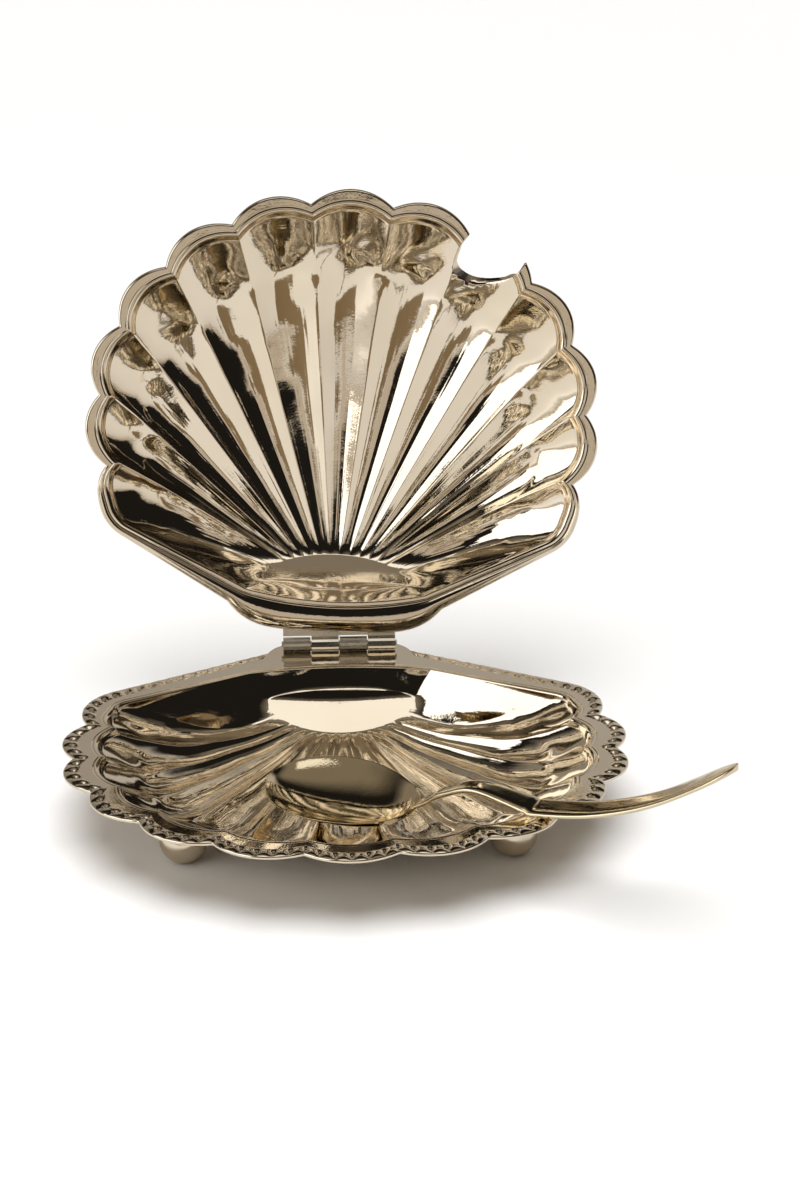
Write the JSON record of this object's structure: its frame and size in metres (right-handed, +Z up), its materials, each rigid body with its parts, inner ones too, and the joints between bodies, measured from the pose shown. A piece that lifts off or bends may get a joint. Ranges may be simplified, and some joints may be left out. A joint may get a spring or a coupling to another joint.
{
  "type": "hinged scallop-shell dish",
  "caption": "Polished pale-gold shell-shaped dish on ball feet, with a hinged matching lid that is notched for a spoon handle, and a loose spoon lying in it.",
  "frame": {"origin": "under the middle of the whole object's box, with the lid open and the spoon in place, on the surface that the feet stand on", "axes": "+Z up, +X to the right as seen from the front, +Y towards the hinge at the back, in metres"},
  "size_m": [0.1688, 0.1682, 0.1452],
  "materials": {
    "gold_plate": "polished",
    "hinge_metal": "polished",
    "spoon_metal": "polished"
  },
  "bodies": {
    "dish": {"dish": "gold_plate", "foot_front_left": "gold_plate", "foot_front_right": "gold_plate", "foot_rear": "gold_plate", "hinge_leaf_dish": "hinge_metal", "hinge_pin": "hinge_metal", "spoon": "spoon_metal"},
    "lid": {"lid": "gold_plate", "hinge_leaf_lid": "hinge_metal"}
  },
  "joints": [
    {"name": "lid_hinge", "type": "hinge", "parent": "dish", "child": "lid", "pos_m": [-0.00974, 0.05105, 0.0212], "axis": [1, 0, 0], "range_deg": [0, 102]}
  ]
}
